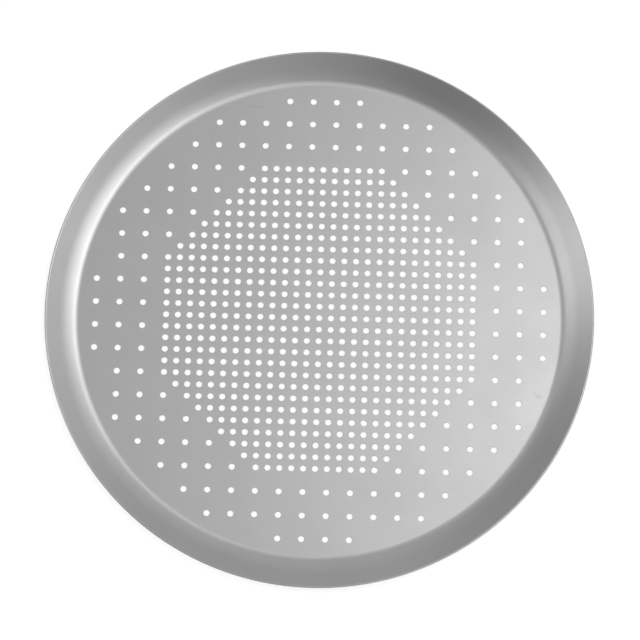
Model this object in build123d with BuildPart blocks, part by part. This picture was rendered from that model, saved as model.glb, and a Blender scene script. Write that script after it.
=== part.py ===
from build123d import *
from math import cos, radians, sin, sqrt
import os

# Round pizza pan, pressed from one disc of aluminium sheet and punched with vent holes.
# Millimetres, +Z up. The origin is the centre of the pan on the surface that it stands on.

# Sheet and overall sizes
pan_diameter = 304.8
flat_bottom_diameter = 267.4
sheet_thickness = 1.0

# Rim: a tight bend up from the flat bottom, a long easing curve, then a straight cone
bend_radius = 12.5
bend_angle = 16.5
easing_radius = 70.0
rim_angle = 22.5

# Cut edge of the sheet: well rounded above, only deburred below
upper_edge_radius = 0.75
lower_edge_radius = 0.15

# Vent holes: a fine square grid that fills an octagon, and round it every second hole of
# every second row, out to a plain margin beside the bend
hole_diameter = 3.4
hole_pitch = 6.55
coarse_step = 2
fine_field_across_flats = 174.0
plain_margin = 6.0
punch_overrun = 1.0

pan_radius = pan_diameter / 2
flat_bottom_radius = flat_bottom_diameter / 2
fine_field_reach = fine_field_across_flats / 2
coarse_field_reach = flat_bottom_radius - plain_margin


def in_octagon(x: float, y: float) -> bool:
    """Tells whether a hole centre lies in the octagon that the fine grid fills."""
    across_flats = max(abs(x), abs(y), (abs(x) + abs(y)) / sqrt(2))
    return across_flats <= fine_field_reach


def in_coarse_field(x: float, y: float) -> bool:
    """Tells whether a hole centre lies outside the octagon and inside the plain margin."""
    return not in_octagon(x, y) and sqrt(x * x + y * y) <= coarse_field_reach


def grid_centres(pitch: float, columns: int, belongs) -> list[tuple[float, float]]:
    """Gives the centres of a square grid about the pan's axis that belong to a field."""
    centres = [(place.position.X, place.position.Y)
               for place in GridLocations(pitch, pitch, columns, columns)]
    return [(x, y) for x, y in centres if belongs(x, y)]


# The fine grid has a hole on the axis, so it counts an odd number of columns. The coarse grid
# keeps to the odd columns of the fine one, which lie evenly about the axis, so it counts an
# even number.
coarse_pitch = coarse_step * hole_pitch
fine_columns = 2 * int(fine_field_reach / hole_pitch) + 1
coarse_columns = 2 * int(coarse_field_reach / coarse_pitch + 0.5)
vent_centres = grid_centres(hole_pitch, fine_columns, in_octagon)
vent_centres += grid_centres(coarse_pitch, coarse_columns, in_coarse_field)

# The cut edge stands square to the sheet, so its lower corner reaches furthest out.
# Rounding that corner takes a little off, which the sheet's length makes up.
slope = radians(rim_angle)
rounding_loss = lower_edge_radius * (cos(slope) + sin(slope) - 1)
upper_corner_radius = pan_radius + rounding_loss - sheet_thickness * sin(slope)

with BuildPart() as pan:
    with BuildSketch(Plane.XZ):
        with BuildLine():
            bottom = Line((0, sheet_thickness), (flat_bottom_radius, sheet_thickness))
            bend = JernArc(bottom @ 1, bottom % 1, bend_radius, bend_angle)
            easing = JernArc(bend @ 1, bend % 1, easing_radius, rim_angle - bend_angle)
            cone_run = upper_corner_radius - (easing @ 1).X
            PolarLine(easing @ 1, cone_run, rim_angle, length_mode=LengthMode.HORIZONTAL)
            offset(amount=sheet_thickness, side=Side.RIGHT)
        make_face()
    revolve(axis=Axis.Z)

    lower_edge, upper_edge = pan.edges().sort_by(Axis.Z)[-2:]
    fillet(upper_edge, upper_edge_radius)
    lower_edge = pan.edges().filter_by(GeomType.CIRCLE).sort_by(SortBy.RADIUS)[-1]
    fillet(lower_edge, lower_edge_radius)
    pan_height = pan.part.bounding_box().size.Z

    with BuildSketch(Plane.XY.offset(-punch_overrun)):
        with Locations(*vent_centres):
            Circle(hole_diameter / 2)
    extrude(amount=sheet_thickness + 2 * punch_overrun, mode=Mode.SUBTRACT, clean=False)

pan.part.label = "pan"

os.makedirs("parts", exist_ok=True)
export_step(pan.part, "parts/pan.step")
print("vent holes", len(vent_centres))
print("pan height", round(pan_height, 3))
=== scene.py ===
import logging
import math
from abc import ABC, abstractmethod
from collections.abc import Iterable
from dataclasses import dataclass
from enum import Enum
from typing import ClassVar

import bmesh
import bpy
from mathutils import Matrix, Vector


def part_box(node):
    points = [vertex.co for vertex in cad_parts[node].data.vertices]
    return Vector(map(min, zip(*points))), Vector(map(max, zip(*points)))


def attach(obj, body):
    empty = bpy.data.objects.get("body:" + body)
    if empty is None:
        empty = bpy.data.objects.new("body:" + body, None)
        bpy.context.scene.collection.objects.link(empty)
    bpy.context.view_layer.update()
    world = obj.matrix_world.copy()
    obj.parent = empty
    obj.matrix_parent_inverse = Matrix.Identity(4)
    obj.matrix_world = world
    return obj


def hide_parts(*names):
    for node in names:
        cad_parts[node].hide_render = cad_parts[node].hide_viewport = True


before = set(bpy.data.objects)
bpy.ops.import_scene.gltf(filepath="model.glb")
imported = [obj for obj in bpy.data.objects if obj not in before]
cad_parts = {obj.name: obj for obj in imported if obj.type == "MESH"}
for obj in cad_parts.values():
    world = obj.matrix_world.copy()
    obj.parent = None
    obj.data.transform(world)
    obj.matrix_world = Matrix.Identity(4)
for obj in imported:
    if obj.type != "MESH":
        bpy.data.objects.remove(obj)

LOG = logging.getLogger("pizza_pan")
MM = 0.001
UP = Vector((0, 0, 1))
Socket = bpy.types.NodeSocket
Feed = Socket | float | tuple[float, ...]
MeshPart = bmesh.types.BMVert | bmesh.types.BMEdge


def each_once(parts: Iterable[MeshPart]) -> list[MeshPart]:
    """Lists parts without repeats, in the order that they come in."""
    return list(dict.fromkeys(parts))


class HoleField(Enum):
    """How densely a stretch of the flat bottom is punched."""

    FINE = "a hole at every crossing of the grid"
    COARSE = "a hole at every second crossing of every second row"
    PLAIN = "no hole"


class SheetFinish(Enum):
    """The mesh's material slots, in order."""

    SKIN = 0
    CUT = 1


@dataclass
class SectionPen:
    """Draws the rim's section as a chain of edges in the XZ plane, one stroke after the other.

    The heading is the angle from +X towards +Z.
    """

    mesh: bmesh.types.BMesh
    tip: bmesh.types.BMVert
    heading: float = 0.0

    def line(self, length: float) -> None:
        """Draws a straight stroke.

        Args:
            length: the stroke's length.
        """
        made = bmesh.ops.extrude_vert_indiv(self.mesh, verts=[self.tip])
        self.tip = made["verts"][0]
        ahead = Vector((math.cos(self.heading), 0, math.sin(self.heading)))
        bmesh.ops.translate(self.mesh, verts=[self.tip], vec=ahead * length)

    def turn(self, radius: float, angle: float, steps: int) -> None:
        """Draws an arc that leaves the last stroke smoothly.

        Args:
            radius: the arc's radius.
            angle: how far the heading turns, positive towards the left.
            steps: how many edges the arc has.
        """
        left = Vector((-math.sin(self.heading), 0, math.cos(self.heading)))
        centre = self.tip.co + left * math.copysign(radius, angle)
        made = bmesh.ops.spin(self.mesh, geom=[self.tip], cent=centre, axis=(0, -1, 0),
                              angle=angle, steps=steps)
        self.tip = next(v for v in made["geom_last"] if isinstance(v, bmesh.types.BMVert))
        self.heading += angle


@dataclass
class PressedSheet:
    """The pan's one piece: a disc of sheet, punched with vent holes and pressed to a rim."""

    outer_radius: float
    thickness: float = 1.0 * MM
    flat_bottom_radius: float = 133.7 * MM
    bend_radius: float = 12.5 * MM
    bend_angle: float = math.radians(16.5)
    easing_radius: float = 70.0 * MM
    rim_angle: float = math.radians(22.5)
    upper_edge_radius: float = 0.75 * MM
    lower_edge_radius: float = 0.15 * MM
    hole_radius: float = 1.7 * MM
    hole_pitch: float = 6.55 * MM
    coarse_step: int = 2
    fine_field_reach: float = 87.0 * MM
    plain_margin: float = 6.0 * MM
    upper_lip: float = 0.16 * MM
    lower_lip: float = 0.06 * MM
    seam_margin: float = 0.9 * MM
    guard_width: float = 0.08 * MM
    upper_lip_steps: int = 2
    lower_lip_steps: int = 1
    hole_sides: int = 20
    rim_segments: int = 256
    bend_steps: int = 10
    easing_steps: int = 8
    edge_steps: int = 6
    merge_distance: float = 0.001 * MM
    ROUND_PROFILE: ClassVar[float] = 0.5
    SHARP_LIP: ClassVar[float] = math.radians(60)
    FLAT_SLOPE: ClassVar[float] = 0.999
    WALL_SLOPE: ClassVar[float] = 0.2
    END_TOLERANCE: ClassVar[float] = 0.02

    @property
    def seam_radius(self) -> float:
        """The circle on the flat bottom where the punched plate meets the spun rim."""
        return self.flat_bottom_radius - self.seam_margin

    @property
    def coarse_field_reach(self) -> float:
        """How far from the axis the coarse field's outermost holes may lie."""
        return self.flat_bottom_radius - self.plain_margin

    @property
    def upper_corner_radius(self) -> float:
        """Where the upper face would meet the cut end, if that corner were sharp.

        Returns:
            The corner's distance from the axis.
        """
        sine, cosine = math.sin(self.rim_angle), math.cos(self.rim_angle)
        rounding_loss = self.lower_edge_radius * (cosine + sine - 1)
        return self.outer_radius + rounding_loss - self.thickness * sine

    def field_at(self, column: int, row: int) -> HoleField:
        """Tells how the sheet is punched at one crossing of the grid.

        Args:
            column: the crossing's place along X, counted from the axis.
            row: the crossing's place along Y, counted from the axis.

        Returns:
            FINE or COARSE where the crossing has a hole of that field, and PLAIN elsewhere.
        """
        x, y = abs(column) * self.hole_pitch, abs(row) * self.hole_pitch
        if max(x, y, (x + y) / math.sqrt(2)) <= self.fine_field_reach:
            return HoleField.FINE
        kept = column % self.coarse_step and row % self.coarse_step
        if kept and math.hypot(x, y) <= self.coarse_field_reach:
            return HoleField.COARSE
        return HoleField.PLAIN

    def crossing_of(self, face: bmesh.types.BMFace) -> tuple[int, int]:
        """Gives the column and row of the grid cell that a face lies in."""
        centre = face.calc_center_median()
        return round(centre.x / self.hole_pitch), round(centre.y / self.hole_pitch)

    def punched_plate(self, mesh: bmesh.types.BMesh) -> None:
        """Makes the flat bottom, with its holes, out to the seam.

        Each cell of a grid becomes a frame round one hole, the rest of the disc is filled up
        to the seam, and the skin is then given its thickness.

        Args:
            mesh: the mesh that the plate is made in, empty before.
        """
        reach = int(self.seam_radius / self.hole_pitch)
        cells = 2 * reach + 1
        bmesh.ops.create_grid(mesh, x_segments=cells, y_segments=cells,
                              size=cells * self.hole_pitch / 2,
                              matrix=Matrix.Translation(UP * self.thickness))
        holed = [f for f in mesh.faces
                 if self.field_at(*self.crossing_of(f)) is not HoleField.PLAIN]
        kept = set(holed)
        spare = [f for f in mesh.faces if f not in kept
                 and f.calc_center_median().xy.length > self.coarse_field_reach]
        bmesh.ops.delete(mesh, geom=spare, context="FACES")

        rows = [e for e in mesh.edges if e.is_boundary]
        bmesh.ops.create_circle(mesh, cap_ends=False, segments=self.rim_segments,
                                radius=self.seam_radius,
                                matrix=Matrix.Translation(UP * self.thickness))
        seam = [e for e in mesh.edges if e.is_wire]
        bmesh.ops.triangle_fill(mesh, use_beauty=True, use_dissolve=False, edges=rows + seam,
                                normal=UP)

        self.cut_holes(mesh, holed)
        bmesh.ops.recalc_face_normals(mesh, faces=mesh.faces)
        made = bmesh.ops.extrude_face_region(mesh, geom=mesh.faces[:], use_keep_orig=True)
        lower = [v for v in made["geom"] if isinstance(v, bmesh.types.BMVert)]
        bmesh.ops.translate(mesh, verts=lower, vec=-UP * self.thickness)
        inside_seam = self.seam_radius - self.merge_distance
        seam_wall = [f for f in mesh.faces
                     if all(v.co.xy.length > inside_seam for v in f.verts)]
        bmesh.ops.delete(mesh, geom=seam_wall, context="FACES")

    def cut_holes(self, mesh: bmesh.types.BMesh, holed: list[bmesh.types.BMFace]) -> None:
        """Turns grid cells into frames round their holes.

        Args:
            mesh: the plate's mesh.
            holed: the square cells that have a hole.
        """
        square = self.hole_radius / math.sqrt(2)
        bmesh.ops.inset_individual(mesh, faces=holed, thickness=self.hole_pitch / 2 - square)
        sides = each_once(e for f in holed for e in f.edges)
        bmesh.ops.bisect_edges(mesh, edges=sides, cuts=self.hole_sides // len(holed[0].edges) - 1)
        for face in holed:
            column, row = self.crossing_of(face)
            centre = Vector((column * self.hole_pitch, row * self.hole_pitch, self.thickness))
            for vert in face.verts:
                vert.co = centre + self.on_circle(vert.co - centre)
        bmesh.ops.delete(mesh, geom=holed, context="FACES")

    def on_circle(self, offset: Vector) -> Vector:
        """Moves a point of a square onto the hole's circle, sharing the angle out evenly.

        Args:
            offset: the point, from the hole's centre.

        Returns:
            The point on the circle, from the hole's centre.
        """
        along_x = abs(offset.x) >= abs(offset.y)
        major, minor = (offset.x, offset.y) if along_x else (offset.y, offset.x)
        angle = minor / abs(major) * math.pi / 4
        major = math.copysign(math.cos(angle), major) * self.hole_radius
        minor = math.sin(angle) * self.hole_radius
        return Vector((major, minor, 0)) if along_x else Vector((minor, major, 0))

    def spun_rim(self, mesh: bmesh.types.BMesh) -> None:
        """Draws the section of bend, rim and cut edge and spins it round the pan's axis.

        A narrow guard strip beside each rounded edge keeps the cone's smooth shading straight.

        Args:
            mesh: the mesh that holds the plate already.
        """
        plate = set(mesh.edges)
        start = bmesh.ops.create_vert(mesh, co=(self.seam_radius, 0, self.thickness))["vert"][0]
        pen = SectionPen(mesh, start)
        easing_angle = self.rim_angle - self.bend_angle
        square_end = math.radians(90)
        pen.line(self.seam_margin)
        pen.turn(self.bend_radius, self.bend_angle, self.bend_steps)
        pen.turn(self.easing_radius, easing_angle, self.easing_steps)
        cone = (self.upper_corner_radius - pen.tip.co.x) / math.cos(self.rim_angle)
        pen.line(cone - self.upper_edge_radius - self.guard_width)
        pen.line(self.guard_width)
        pen.turn(self.upper_edge_radius, -square_end, self.edge_steps)
        pen.line(self.thickness - self.upper_edge_radius - self.lower_edge_radius)
        pen.turn(self.lower_edge_radius, -square_end, self.edge_steps // 2)
        pen.line(self.guard_width)
        pen.line(cone - self.lower_edge_radius - self.guard_width)
        pen.turn(self.easing_radius + self.thickness, -easing_angle, self.easing_steps)
        pen.turn(self.bend_radius + self.thickness, -self.bend_angle, self.bend_steps)
        pen.line(self.seam_margin)

        section = [e for e in mesh.edges if e not in plate]
        points = each_once(v for e in section for v in e.verts)
        bmesh.ops.spin(mesh, geom=points + section, cent=(0, 0, 0), axis=UP,
                       angle=math.tau, steps=self.rim_segments, use_merge=True)

    def round_lips(self, mesh: bmesh.types.BMesh) -> None:
        """Rounds the holes' upper lips, where the punch went in, and breaks the lower ones.

        Args:
            mesh: the whole pan's mesh.
        """
        inside_seam = self.seam_radius - self.merge_distance
        lips = [e for e in mesh.edges if e.calc_face_angle(0.0) > self.SHARP_LIP
                and e.verts[0].co.xy.length < inside_seam]
        upper = [e for e in lips if e.verts[0].co.z > self.thickness / 2]
        lower = [e for e in lips if e.verts[0].co.z < self.thickness / 2]
        for edges, width, steps in ((upper, self.upper_lip, self.upper_lip_steps),
                                    (lower, self.lower_lip, self.lower_lip_steps)):
            bmesh.ops.bevel(mesh, geom=edges, offset=width, offset_type="OFFSET", segments=steps,
                            profile=self.ROUND_PROFILE, affect="EDGES", material=-1)

    def finish_faces(self, mesh: bmesh.types.BMesh) -> None:
        """Smooths what is curved, leaves the flat faces flat and marks the cut metal.

        Args:
            mesh: the whole pan's mesh.
        """
        end_slope = math.sin(self.rim_angle)
        for face in mesh.faces:
            centre = face.calc_center_median()
            in_plate = centre.xy.length < self.seam_radius
            face.smooth = not (in_plate and abs(face.normal.z) > self.FLAT_SLOPE)
            in_wall = in_plate and abs(face.normal.z) < self.WALL_SLOPE
            at_end = (centre.xy.length > self.outer_radius - self.thickness
                      and abs(face.normal.z - end_slope) < self.END_TOLERANCE)
            face.material_index = (SheetFinish.CUT if in_wall or at_end else SheetFinish.SKIN).value

    def build(self, finishes: list[bpy.types.Material]) -> bpy.types.Object:
        """Makes the pan's object.

        Args:
            finishes: the materials, in the order of SheetFinish.

        Returns:
            The finished piece, riding on the pan's body in place of the plain solid.
        """
        mesh = bmesh.new()
        self.punched_plate(mesh)
        self.spun_rim(mesh)
        bmesh.ops.remove_doubles(mesh, verts=mesh.verts, dist=self.merge_distance)
        bmesh.ops.recalc_face_normals(mesh, faces=mesh.faces)
        self.round_lips(mesh)
        mesh.normal_update()
        self.finish_faces(mesh)
        open_edges = sum(not e.is_manifold for e in mesh.edges)
        data = bpy.data.meshes.new("pan_sheet")
        mesh.to_mesh(data)
        mesh.free()
        for finish in finishes:
            data.materials.append(finish)
        data.calc_loop_triangles()
        LOG.info("pan_sheet: %d triangles, %d open edges", len(data.loop_triangles), open_edges)
        piece = bpy.data.objects.new("pan_sheet", data)
        bpy.context.scene.collection.objects.link(piece)
        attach(piece, "root")
        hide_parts("pan")
        return piece


@dataclass
class NodeBoard:
    """A node tree, with short ways to add the nodes that the finishes are wired from."""

    tree: bpy.types.NodeTree
    MIXED_COLOURS: ClassVar[tuple[int, int]] = (6, 7)
    MIX_RESULT: ClassVar[int] = 2

    def feed(self, socket: Socket, source: Feed) -> None:
        """Joins an input to another node's output, or sets the input's own value.

        Args:
            socket: the input.
            source: the output that it follows, or the value that it keeps.
        """
        if isinstance(source, Socket):
            self.tree.links.new(source, socket)
        else:
            socket.default_value = source

    def add(self, kind: str, feeds: dict[str | int, Feed],
            **settings: str | bool) -> bpy.types.Node:
        """Adds one node.

        Args:
            kind: the node's type.
            feeds: what its inputs follow or keep, by name or by number.
            settings: its choices, such as the operation of a Math node.

        Returns:
            The node.
        """
        node = self.tree.nodes.new(kind)
        for name, value in settings.items():
            setattr(node, name, value)
        for name, source in feeds.items():
            self.feed(node.inputs[name], source)
        return node

    def sum(self, operation: str, *terms: Feed) -> Socket:
        """Works out one value from others with a Math node."""
        return self.add("ShaderNodeMath", dict(enumerate(terms)), operation=operation).outputs[0]

    def vector(self, operation: str, *terms: Feed) -> bpy.types.Node:
        """Works on places with a Vector Math node."""
        return self.add("ShaderNodeVectorMath", dict(enumerate(terms)), operation=operation)

    def inverse(self, value: Feed) -> Socket:
        """Divides one by a value."""
        return self.sum("DIVIDE", 1.0, value)

    def laid_down(self, place: Feed) -> Socket:
        """Drops a place onto the level of the origin."""
        return self.vector("MULTIPLY", place, (1.0, 1.0, 0.0)).outputs[0]

    def length(self, place: Feed) -> Socket:
        """Gives a place's distance from the origin."""
        return self.vector("LENGTH", place).outputs["Value"]

    def stretch(self, place: Feed, along: tuple[float, float, float], turn: float = 0.0) -> Socket:
        """Turns a place about the Z axis and scales it along each axis.

        Args:
            place: the place.
            along: the scale along X, Y and Z, after the turn.
            turn: the turn in radians.

        Returns:
            The new place.
        """
        feeds = {"Vector": place, "Angle": turn}
        turned = self.add("ShaderNodeVectorRotate", feeds, rotation_type="Z_AXIS")
        return self.vector("MULTIPLY", turned.outputs[0], along).outputs[0]

    def noise(self, place: Feed, scale: Feed, detail: float = 2.0) -> Socket:
        """Gives a soft random value that changes with the place, about a half on average."""
        made = self.add("ShaderNodeTexNoise", {"Vector": place, "Scale": scale, "Detail": detail})
        return made.outputs[0]

    def ramp(self, value: Feed, low: Feed, high: Feed) -> Socket:
        """Gives a mask that rises smoothly from nothing at one value to one at another."""
        feeds = {"Value": value, "From Min": low, "From Max": high}
        return self.add("ShaderNodeMapRange", feeds, interpolation_type="SMOOTHSTEP").outputs[0]

    def mix(self, mask: Feed, without: Feed, covered: Feed) -> Socket:
        """Mixes two colours by a mask.

        Args:
            mask: how much of the second colour shows.
            without: the colour where the mask is nothing.
            covered: the colour where the mask is one.

        Returns:
            The mixed colour.
        """
        node = self.add("ShaderNodeMix", {"Factor": mask}, data_type="RGBA")
        for number, colour in zip(self.MIXED_COLOURS, (without, covered)):
            plain = not isinstance(colour, Socket)
            self.feed(node.inputs[number], (*colour, 1.0) if plain else colour)
        return node.outputs[self.MIX_RESULT]

    def pile(self, base: Feed, *layers: tuple[Feed, float]) -> Socket:
        """Adds masks to a base value, each by its own amount.

        Args:
            base: the value to start from.
            layers: each mask with its amount.

        Returns:
            The sum.
        """
        for mask, amount in layers:
            base = self.sum("MULTIPLY_ADD", mask, amount, base)
        return base


class Effect(ABC):
    """A surface effect that several finishes share, kept as one node group."""

    name: ClassVar[str]
    inputs: ClassVar[tuple[str, ...]]
    outputs: ClassVar[tuple[str, ...]]

    @abstractmethod
    def wire(self, board: NodeBoard, place: Socket, given: dict[str, Socket]) -> tuple[Socket, ...]:
        """Lays out the effect's own nodes.

        Args:
            board: the group's board.
            place: the place on the pan, in metres.
            given: the group's inputs by name.

        Returns:
            The group's outputs, in order.
        """

    def tree(self) -> bpy.types.NodeTree:
        """Gives the node group, which is made at the first call.

        Returns:
            The group's tree.
        """
        tree = bpy.data.node_groups.get(self.name)
        if tree is not None:
            return tree
        tree = bpy.data.node_groups.new(self.name, "ShaderNodeTree")
        for name in self.inputs:
            tree.interface.new_socket(name, in_out="INPUT", socket_type="NodeSocketFloat")
        for name in self.outputs:
            tree.interface.new_socket(name, in_out="OUTPUT", socket_type="NodeSocketFloat")
        board = NodeBoard(tree)
        given = {s.name: s for s in board.add("NodeGroupInput", {}).outputs if s.name}
        place = board.add("ShaderNodeTexCoord", {}).outputs["Object"]
        board.add("NodeGroupOutput", dict(enumerate(self.wire(board, place, given))))
        return tree

    def on(self, board: NodeBoard, **values: float) -> dict[str, Socket]:
        """Puts the effect into a finish.

        Args:
            board: the finish's board.
            values: the finish's own values for the effect's inputs.

        Returns:
            The effect's outputs by name.
        """
        node = board.tree.nodes.new("ShaderNodeGroup")
        node.node_tree = self.tree()
        for name, value in values.items():
            node.inputs[name].default_value = value
        return {s.name: s for s in node.outputs}


class SheetGrain(Effect):
    """The fine tooth of rolled sheet: tiny grains, a little longer along the rolling direction.

    The size is that of one grain in metres, and the draw is how many times longer than wide it is.
    """

    name = "sheet_grain"
    inputs = ("size", "draw")
    outputs = ("height", "tone")
    FINER: ClassVar[float] = 3.1
    COARSE_SHARE: ClassVar[float] = 0.6
    FINE_SHARE: ClassVar[float] = 0.4
    STREAK_DRAW: ClassVar[float] = 30.0
    STREAK_DETAIL: ClassVar[float] = 3.0
    STREAK_SHARE: ClassVar[float] = 0.5

    def wire(self, board: NodeBoard, place: Socket, given: dict[str, Socket]) -> tuple[Socket, ...]:
        """Lays grains of two sizes over faint rolling streaks.

        Args:
            board: the group's board.
            place: the place on the pan, in metres.
            given: the group's inputs by name.

        Returns:
            The grain's height and its tone, about a half on average.
        """
        scale = board.inverse(given["size"])
        squeeze = board.inverse(given["draw"])
        along = board.add("ShaderNodeCombineXYZ", {0: squeeze, 1: 1.0, 2: 1.0}).outputs[0]
        rolled = board.vector("MULTIPLY", place, along).outputs[0]
        coarse = board.noise(rolled, scale)
        fine = board.noise(rolled, board.sum("MULTIPLY", scale, self.FINER))
        streaked = board.stretch(place, (1 / self.STREAK_DRAW, 1.0, 1.0))
        streaks = board.noise(streaked, scale, self.STREAK_DETAIL)
        height = board.pile(0.0, (coarse, self.COARSE_SHARE), (fine, self.FINE_SHARE))
        tone = board.pile(0.0, (streaks, self.STREAK_SHARE), (coarse, 1 - self.STREAK_SHARE))
        return height, tone


class HandlingMarks(Effect):
    """What use leaves on bare metal: hairline scratches and cloudy finger and cloth smears.

    The spacing is the rough distance between scratches, the width is a scratch's own, and the
    smear is the size of the clouds, all in metres.
    """

    name = "handling_marks"
    inputs = ("spacing", "width", "smear")
    outputs = ("scratches", "smears")
    TURNS: ClassVar[tuple[float, ...]] = (0.35, 1.3, 2.45)
    SLENDER: ClassVar[float] = 0.14
    WANDER: ClassVar[float] = 0.012
    WANDER_SCALE: ClassVar[float] = 30.0
    KEPT: ClassVar[tuple[float, float]] = (0.56, 0.66)
    SMEARED: ClassVar[tuple[float, float]] = (0.35, 0.7)
    PLAIN_DETAIL: ClassVar[float] = 1.0
    SMEAR_DETAIL: ClassVar[float] = 3.0

    def hairlines(self, board: NodeBoard, place: Feed, given: dict[str, Socket],
                  turn: float) -> Socket:
        """Gives the scratches that run roughly one way, broken off by a soft random mask.

        Args:
            board: the group's board.
            place: the place on the pan, in metres.
            given: the group's inputs by name.
            turn: the way that the scratches run, in radians.

        Returns:
            The scratches as a mask.
        """
        scale = board.inverse(given["spacing"])
        slender = board.stretch(place, (self.SLENDER, 1.0, 1.0), turn)
        lines = board.add("ShaderNodeTexVoronoi", {"Vector": slender, "Scale": scale},
                          feature="DISTANCE_TO_EDGE").outputs["Distance"]
        reach = board.sum("DIVIDE", given["width"], given["spacing"])
        line = board.sum("SUBTRACT", 1.0, board.ramp(lines, 0.0, reach))
        kept = board.ramp(board.noise(slender, scale, self.PLAIN_DETAIL), *self.KEPT)
        return board.sum("MULTIPLY", line, kept)

    def wire(self, board: NodeBoard, place: Socket, given: dict[str, Socket]) -> tuple[Socket, ...]:
        """Crosses hairlines of a few directions and lays the smears beside them.

        Args:
            board: the group's board.
            place: the place on the pan, in metres.
            given: the group's inputs by name.

        Returns:
            The scratches and the smears as masks.
        """
        feeds = {"Vector": place, "Scale": self.WANDER_SCALE, "Detail": self.PLAIN_DETAIL}
        bend = board.add("ShaderNodeTexNoise", feeds).outputs["Color"]
        bent = board.vector("MULTIPLY_ADD", bend, (self.WANDER,) * 3, place).outputs[0]
        scratches = 0.0
        for turn in self.TURNS:
            scratches = board.sum("MAXIMUM", self.hairlines(board, bent, given, turn), scratches)
        cloud = board.noise(place, board.inverse(given["smear"]), self.SMEAR_DETAIL)
        return scratches, board.ramp(cloud, *self.SMEARED)


class PressStreaks(Effect):
    """Faint lines down the bend and the rim, drawn by the die as the rim was pressed.

    The width is that of one line at the rim in metres.
    """

    name = "press_streaks"
    inputs = ("width", "start", "end")
    outputs = ("height",)
    LENGTH: ClassVar[float] = 12 * MM

    def wire(self, board: NodeBoard, place: Socket, given: dict[str, Socket]) -> tuple[Socket, ...]:
        """Draws noise out along the radius and keeps it off the flat bottom.

        Args:
            board: the group's board.
            place: the place on the pan, in metres.
            given: the group's inputs by name.

        Returns:
            The height of the lines, as the only output.
        """
        level = board.laid_down(place)
        radius = board.length(level)
        outward = board.vector("NORMALIZE", level).outputs[0]
        turns = board.sum("DIVIDE", given["end"], given["width"])
        spread = board.add("ShaderNodeVectorMath", {0: outward, "Scale": turns}, operation="SCALE")
        run = board.add("ShaderNodeCombineXYZ", {2: board.sum("DIVIDE", radius, self.LENGTH)})
        drawn = board.vector("ADD", spread.outputs[0], run.outputs[0]).outputs[0]
        streaks = board.noise(drawn, 1.0)
        return (board.sum("MULTIPLY", streaks, board.ramp(radius, given["start"], given["end"])),)


class RubbedEdge(Effect):
    """Wear near the rim's edge, where hands and racks rub it smoother, in patches."""

    name = "rubbed_edge"
    inputs = ("start", "end", "patch")
    outputs = ("rub",)
    WORN: ClassVar[tuple[float, float]] = (0.3, 0.6)

    def wire(self, board: NodeBoard, place: Socket, given: dict[str, Socket]) -> tuple[Socket, ...]:
        """Lets the wear grow towards the edge, more here and less there.

        Args:
            board: the group's board.
            place: the place on the pan, in metres.
            given: the group's inputs by name.

        Returns:
            The wear as a mask, as the only output.
        """
        radius = board.length(board.laid_down(place))
        near = board.ramp(radius, given["start"], given["end"])
        patches = board.noise(place, board.inverse(given["patch"]))
        return (board.sum("MULTIPLY", near, board.ramp(patches, *self.WORN)),)


@dataclass(frozen=True)
class Scratch:
    """One scratch on the upper face, bowed like the arc that a finger or a blade draws.

    The place is its middle, the turn is its direction from +X and the bow is how fast it curves
    away to the left of that direction. The dirt is how much of it shows, from nothing to one.
    The two faces are heights between which it fades out downwards.
    """

    place: tuple[float, float]
    turn: float
    length: float
    width: float
    bow: float
    dirt: float
    lower_face: float = 0.2 * MM
    upper_face: float = 0.8 * MM

    def mask(self, board: NodeBoard, place: Socket) -> Socket:
        """Gives the scratch as a mask.

        Args:
            board: the finish's board.
            place: the place on the pan, in metres.

        Returns:
            The dirt along the scratch's line, fading towards its ends and sides.
        """
        shifted = board.vector("SUBTRACT", place, (*self.place, 0.0)).outputs[0]
        lined_up = board.stretch(shifted, (1.0, 1.0, 1.0), -self.turn)
        parts = board.add("ShaderNodeSeparateXYZ", {0: lined_up}).outputs
        along = board.sum("ABSOLUTE", parts[0])
        arch = board.sum("MULTIPLY", board.sum("POWER", along, 2.0), self.bow)
        across = board.sum("ABSOLUTE", board.sum("SUBTRACT", parts[1], arch))
        ends = board.ramp(along, self.length / 2, self.length / 4)
        sides = board.ramp(across, self.width, 0.0)
        face = board.ramp(parts[2], self.lower_face, self.upper_face)
        shape = board.sum("MULTIPLY", board.sum("MULTIPLY", ends, sides), face)
        return board.sum("MULTIPLY", shape, self.dirt)


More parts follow.
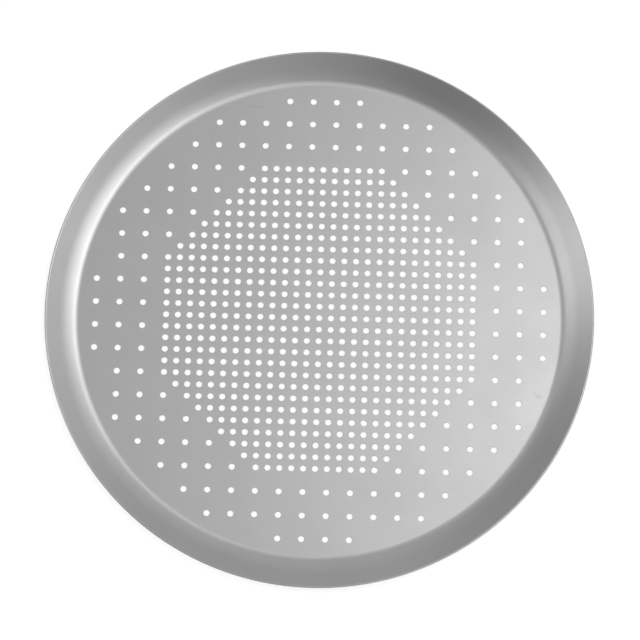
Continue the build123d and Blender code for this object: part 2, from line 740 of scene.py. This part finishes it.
@dataclass(frozen=True)
class AluminiumFinish:
    """Bare aluminium. Depths and sizes are in metres."""

    name: str
    clean_tone: tuple[float, float, float]
    smeared_tone: tuple[float, float, float]
    roughness: float
    grain_size: float
    grain_draw: float
    grain_depth: float
    hairline_spacing: float
    hairline_depth: float
    streak_depth: float
    dirty_tone: tuple[float, float, float] = (0.36, 0.36, 0.36)
    scratches: tuple[Scratch, ...] = ()
    hairline_width: float = 0.045 * MM
    smear_size: float = 38 * MM
    streak_width: float = 1.1 * MM
    rub_patch: float = 9 * MM
    rim_start: float = 134 * MM
    edge_start: float = 151.2 * MM
    edge_end: float = 152.4 * MM
    MEAN_TONE: ClassVar[float] = 0.5
    SMEAR_WEAR: ClassVar[float] = 0.35
    HAIRLINE_WEAR: ClassVar[float] = 0.5
    TOOTH_WEAR: ClassVar[float] = 0.25
    SMEAR_ROUGHNESS: ClassVar[float] = 0.012
    HAIRLINE_ROUGHNESS: ClassVar[float] = 0.08
    TOOTH_ROUGHNESS: ClassVar[float] = 0.10
    RUB_ROUGHNESS: ClassVar[float] = -0.02

    def build(self) -> bpy.types.Material:
        """Makes the material.

        Returns:
            The material, named after the finish.
        """
        material = bpy.data.materials.new(self.name)
        material.use_nodes = True
        board = NodeBoard(material.node_tree)
        place = board.add("ShaderNodeTexCoord", {}).outputs["Object"]
        grain = SheetGrain().on(board, size=self.grain_size, draw=self.grain_draw)
        marks = HandlingMarks().on(board, spacing=self.hairline_spacing, width=self.hairline_width,
                                   smear=self.smear_size)
        streaks = PressStreaks().on(board, width=self.streak_width, start=self.rim_start,
                                    end=self.edge_end)
        edge = RubbedEdge().on(board, start=self.edge_start, end=self.edge_end,
                               patch=self.rub_patch)
        dirt = 0.0
        for scratch in self.scratches:
            dirt = board.sum("MAXIMUM", scratch.mask(board, place), dirt)

        tooth = board.sum("SUBTRACT", grain["tone"], self.MEAN_TONE)
        worn = board.pile(0.0, (marks["smears"], self.SMEAR_WEAR),
                          (marks["scratches"], self.HAIRLINE_WEAR), (tooth, self.TOOTH_WEAR))
        tone = board.mix(worn, self.clean_tone, self.smeared_tone)
        if self.scratches:
            tone = board.mix(dirt, tone, self.dirty_tone)
        roughness = board.pile(self.roughness, (tooth, self.TOOTH_ROUGHNESS),
                               (marks["smears"], self.SMEAR_ROUGHNESS),
                               (marks["scratches"], self.HAIRLINE_ROUGHNESS),
                               (edge["rub"], self.RUB_ROUGHNESS))
        height = board.pile(0.0, (grain["height"], self.grain_depth), (dirt, -self.hairline_depth),
                            (marks["scratches"], -self.hairline_depth),
                            (streaks["height"], self.streak_depth))
        bump = board.add("ShaderNodeBump", {"Strength": 1.0, "Distance": 1.0, "Height": height})

        shader = material.node_tree.nodes["Principled BSDF"]
        board.feed(shader.inputs["Metallic"], 1.0)
        board.feed(shader.inputs["Roughness"], roughness)
        board.feed(shader.inputs["Base Color"], tone)
        board.feed(shader.inputs["Normal"], bump.outputs["Normal"])
        return material


SATIN_SKIN = AluminiumFinish(
    name="satin_skin", clean_tone=(0.655, 0.655, 0.66), smeared_tone=(0.58, 0.58, 0.585),
    roughness=0.31, grain_size=0.16 * MM, grain_draw=2.5, grain_depth=0.0012 * MM,
    hairline_spacing=26 * MM, hairline_depth=0.002 * MM, streak_depth=0.004 * MM,
    scratches=(
        Scratch(place=(121.3 * MM, -41.0 * MM), turn=math.radians(-43), length=7.0 * MM,
                width=0.5 * MM, bow=42.0, dirt=0.6),
        Scratch(place=(123.6 * MM, -40.8 * MM), turn=math.radians(-37), length=5.5 * MM,
                width=0.45 * MM, bow=20.0, dirt=0.35),
        Scratch(place=(-39.2 * MM, 120.6 * MM), turn=math.radians(-3), length=13 * MM,
                width=0.5 * MM, bow=16.0, dirt=0.3),
    ))
CUT_METAL = AluminiumFinish(
    name="cut_metal", clean_tone=(0.70, 0.70, 0.706), smeared_tone=(0.60, 0.60, 0.605),
    roughness=0.28, grain_size=0.09 * MM, grain_draw=1.0, grain_depth=0.0020 * MM,
    hairline_spacing=9 * MM, hairline_depth=0.003 * MM, streak_depth=0.006 * MM)


@dataclass(frozen=True)
class PhotoCamera:
    """The camera, aimed as the photograph's was. Angles are in degrees."""

    aim: tuple[float, float, float] = (0.44 * MM, -1.17 * MM, 1.0 * MM)
    azimuth: float = 3.20
    elevation: float = 77.35
    roll: float = -1.67
    distance: float = 2.1516
    lens_mm: float = 217.9
    sensor_mm: float = 36.0

    def build(self) -> bpy.types.Object:
        """Makes the camera and gives it to the scene.

        Returns:
            The camera's object.
        """
        turn, rise, lean = (math.radians(a) for a in (self.azimuth, self.elevation, self.roll))
        back = Vector((math.sin(turn) * math.cos(rise), -math.cos(turn) * math.cos(rise),
                       math.sin(rise)))
        level = UP.cross(back).normalized()
        right = Matrix.Rotation(lean, 3, back) @ level
        axes = Matrix((right, back.cross(right), back)).transposed()
        data = bpy.data.cameras.new("photo_camera")
        data.lens = self.lens_mm
        data.sensor_width = self.sensor_mm
        camera = bpy.data.objects.new("photo_camera", data)
        place = Vector(self.aim) + back * self.distance
        camera.matrix_world = Matrix.Translation(place) @ axes.to_4x4()
        bpy.context.scene.collection.objects.link(camera)
        bpy.context.scene.camera = camera
        return camera


@dataclass(frozen=True)
class PaleFloor:
    """A plain white floor that keeps a faint shadow of the pan."""

    radius: float = 30.0
    gap: float = 0.02 * MM
    colour: float = 0.8
    glow: float = 0.61
    segments: int = 64

    def build(self) -> bpy.types.Object:
        """Makes the floor as a stage piece.

        Returns:
            The floor's object.
        """
        mesh = bmesh.new()
        bmesh.ops.create_circle(mesh, cap_ends=True, segments=self.segments, radius=self.radius,
                                matrix=Matrix.Translation(-UP * self.gap))
        data = bpy.data.meshes.new("floor")
        mesh.to_mesh(data)
        mesh.free()
        data.materials.append(self.finish())
        floor = bpy.data.objects.new("floor", data)
        bpy.context.scene.collection.objects.link(floor)
        return floor

    def finish(self) -> bpy.types.Material:
        """Makes the floor's material: a pale matt surface with a glow of its own.

        The glow shows to the camera and in reflections, but lights no matt surface.

        Returns:
            The material.
        """
        material = bpy.data.materials.new("pale_floor")
        material.use_nodes = True
        material.node_tree.nodes.clear()
        board = NodeBoard(material.node_tree)
        matt = board.add("ShaderNodeBsdfDiffuse", {"Color": (self.colour,) * 3 + (1.0,)})
        ray = board.add("ShaderNodeLightPath", {}).outputs
        seen = board.sum("MAXIMUM", ray["Is Camera Ray"], ray["Is Glossy Ray"])
        seen = board.sum("MAXIMUM", seen, ray["Is Transmission Ray"])
        glow = board.add("ShaderNodeEmission", {"Strength": board.sum("MULTIPLY", seen, self.glow)})
        both = board.add("ShaderNodeAddShader", {0: matt.outputs[0], 1: glow.outputs[0]})
        board.add("ShaderNodeOutputMaterial", {"Surface": both.outputs[0]})
        return material


@dataclass(frozen=True)
class SoftBox:
    """A soft lamp that faces the pan from a place on the studio's dome.

    The azimuth runs from +X towards +Y and the elevation from the floor, both in degrees. The
    brightness is that of its face, where 1 is white.
    """

    name: str
    azimuth: float
    elevation: float
    width: float
    height: float
    brightness: float
    distance: float = 3.0

    def build(self) -> bpy.types.Object:
        """Makes the lamp, with its width level.

        Returns:
            The lamp's object.
        """
        turn, rise = math.radians(self.azimuth), math.radians(self.elevation)
        away = Vector((math.cos(turn) * math.cos(rise), math.sin(turn) * math.cos(rise),
                       math.sin(rise)))
        data = bpy.data.lights.new(self.name, "AREA")
        data.shape = "RECTANGLE"
        data.size, data.size_y = self.width, self.height
        data.energy = self.brightness * math.pi * self.width * self.height
        lamp = bpy.data.objects.new(self.name, data)
        lamp.location = away * self.distance
        lamp.rotation_euler = away.to_track_quat("Z", "Y").to_euler()
        bpy.context.scene.collection.objects.link(lamp)
        return lamp


@dataclass(frozen=True)
class Studio:
    """The plain soft light round the pan: lamps in a room with pale walls and a darker ceiling.

    The walls fade into the ceiling between two heights, each the sine of its elevation.
    """

    lamps: tuple[SoftBox, ...] = (
        SoftBox("overhead", azimuth=21.8, elevation=70.5, width=1.23, height=1.24, brightness=2.01),
        SoftBox("left", azimuth=172.8, elevation=57.9, width=1.02, height=0.90, brightness=1.44),
        SoftBox("front", azimuth=303.1, elevation=55.1, width=2.25, height=3.07, brightness=0.23),
        SoftBox("back", azimuth=67.3, elevation=69.7, width=3.65, height=3.19, brightness=0.30),
    )
    ceiling: float = 0.14
    walls: float = 0.42
    walls_end: float = 0.45
    ceiling_start: float = 0.85

    def build(self) -> None:
        """Makes the lamps and the light of the room, seen without a film-like colour curve."""
        for lamp in self.lamps:
            lamp.build()
        world = bpy.data.worlds.new("studio")
        world.use_nodes = True
        board = NodeBoard(world.node_tree)
        ray = board.add("ShaderNodeTexCoord", {}).outputs["Generated"]
        height = board.add("ShaderNodeSeparateXYZ", {0: ray}).outputs["Z"]
        room = {"Value": height, "From Min": self.walls_end, "From Max": self.ceiling_start,
                "To Min": self.walls, "To Max": self.ceiling}
        light = board.add("ShaderNodeMapRange", room).outputs[0]
        board.feed(world.node_tree.nodes["Background"].inputs["Color"], light)
        scene = bpy.context.scene
        scene.world = world
        scene.view_settings.view_transform = "Standard"


def main() -> None:
    """Builds finishes, pan, floor, light and camera, in that order, and notes the sizes."""
    logging.basicConfig(level=logging.INFO, format="%(message)s")
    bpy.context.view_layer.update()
    low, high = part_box("pan")
    finishes = [SATIN_SKIN.build(), CUT_METAL.build()]
    pan = PressedSheet(outer_radius=(high.x - low.x) / 2).build(finishes)
    LOG.info("%s stands for the pan", pan.name)
    PaleFloor().build()
    Studio().build()
    PhotoCamera().build()


if __name__ == "__main__":
    main()
